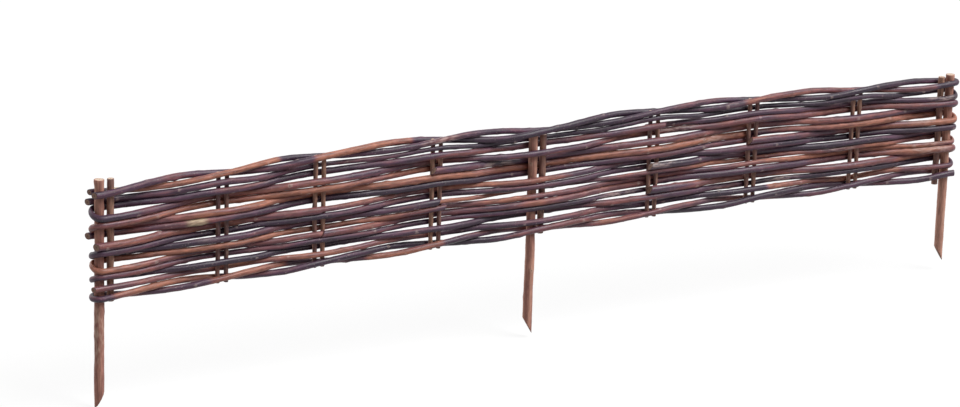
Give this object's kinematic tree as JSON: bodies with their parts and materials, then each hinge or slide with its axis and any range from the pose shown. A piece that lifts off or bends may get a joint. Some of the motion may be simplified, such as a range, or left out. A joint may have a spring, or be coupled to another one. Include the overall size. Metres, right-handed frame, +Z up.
{
  "type": "woven willow hurdle",
  "caption": "Low garden border panel of willow rods woven in front of and behind upright sticks, with slant-cut stakes below that push into the ground.",
  "frame": {"origin": "on the middle stake's axis at the ground line, which is the underside of the weave", "axes": "+X along the panel towards the picture's right, +Z up, and the pictured face towards -Y"},
  "size_m": [1.2041, 0.0292, 0.2674],
  "materials": {
    "stake_bark": "matt brown bark",
    "stick_bark": "matt brown bark",
    "willow_bark_dark": "dark purple-brown bark with a dull sheen",
    "willow_bark_brown": "orange-brown bark with a dull sheen"
  },
  "bodies": {
    "root": {"left_companion": "stick_bark", "left_cut_rod_1": "willow_bark_brown", "left_cut_rod_2": "willow_bark_dark", "left_cut_rod_3": "willow_bark_dark", "left_cut_rod_4": "willow_bark_dark", "left_stake": "stake_bark", "left_turned_rod_1": "willow_bark_dark", "left_turned_rod_2": "willow_bark_brown", "left_turned_rod_3": "willow_bark_dark", "left_turned_rod_4": "willow_bark_brown", "left_turned_rod_5": "willow_bark_dark", "lower_twisted_rod": "willow_bark_dark", "middle_companion": "stick_bark", "middle_stake": "stake_bark", "pair_1_left_stick": "stick_bark", "pair_1_right_stick": "stick_bark", "pair_2_left_stick": "stick_bark", "pair_2_right_stick": "stick_bark", "pair_3_left_stick": "stick_bark", "pair_3_right_stick": "stick_bark", "pair_4_left_stick": "stick_bark", "pair_4_right_stick": "stick_bark", "pair_5_left_stick": "stick_bark", "pair_5_right_stick": "stick_bark", "pair_6_left_stick": "stick_bark", "pair_6_right_stick": "stick_bark", "right_companion": "stick_bark", "right_stake": "stake_bark", "right_turned_rod_1": "willow_bark_dark", "right_turned_rod_2": "willow_bark_dark", "right_turned_rod_3": "willow_bark_brown", "right_turned_rod_4": "willow_bark_dark", "right_turned_rod_5": "willow_bark_brown", "right_turned_rod_6": "willow_bark_dark", "right_turned_rod_7": "willow_bark_dark", "upper_twisted_rod": "willow_bark_dark"}
  },
  "joints": []
}
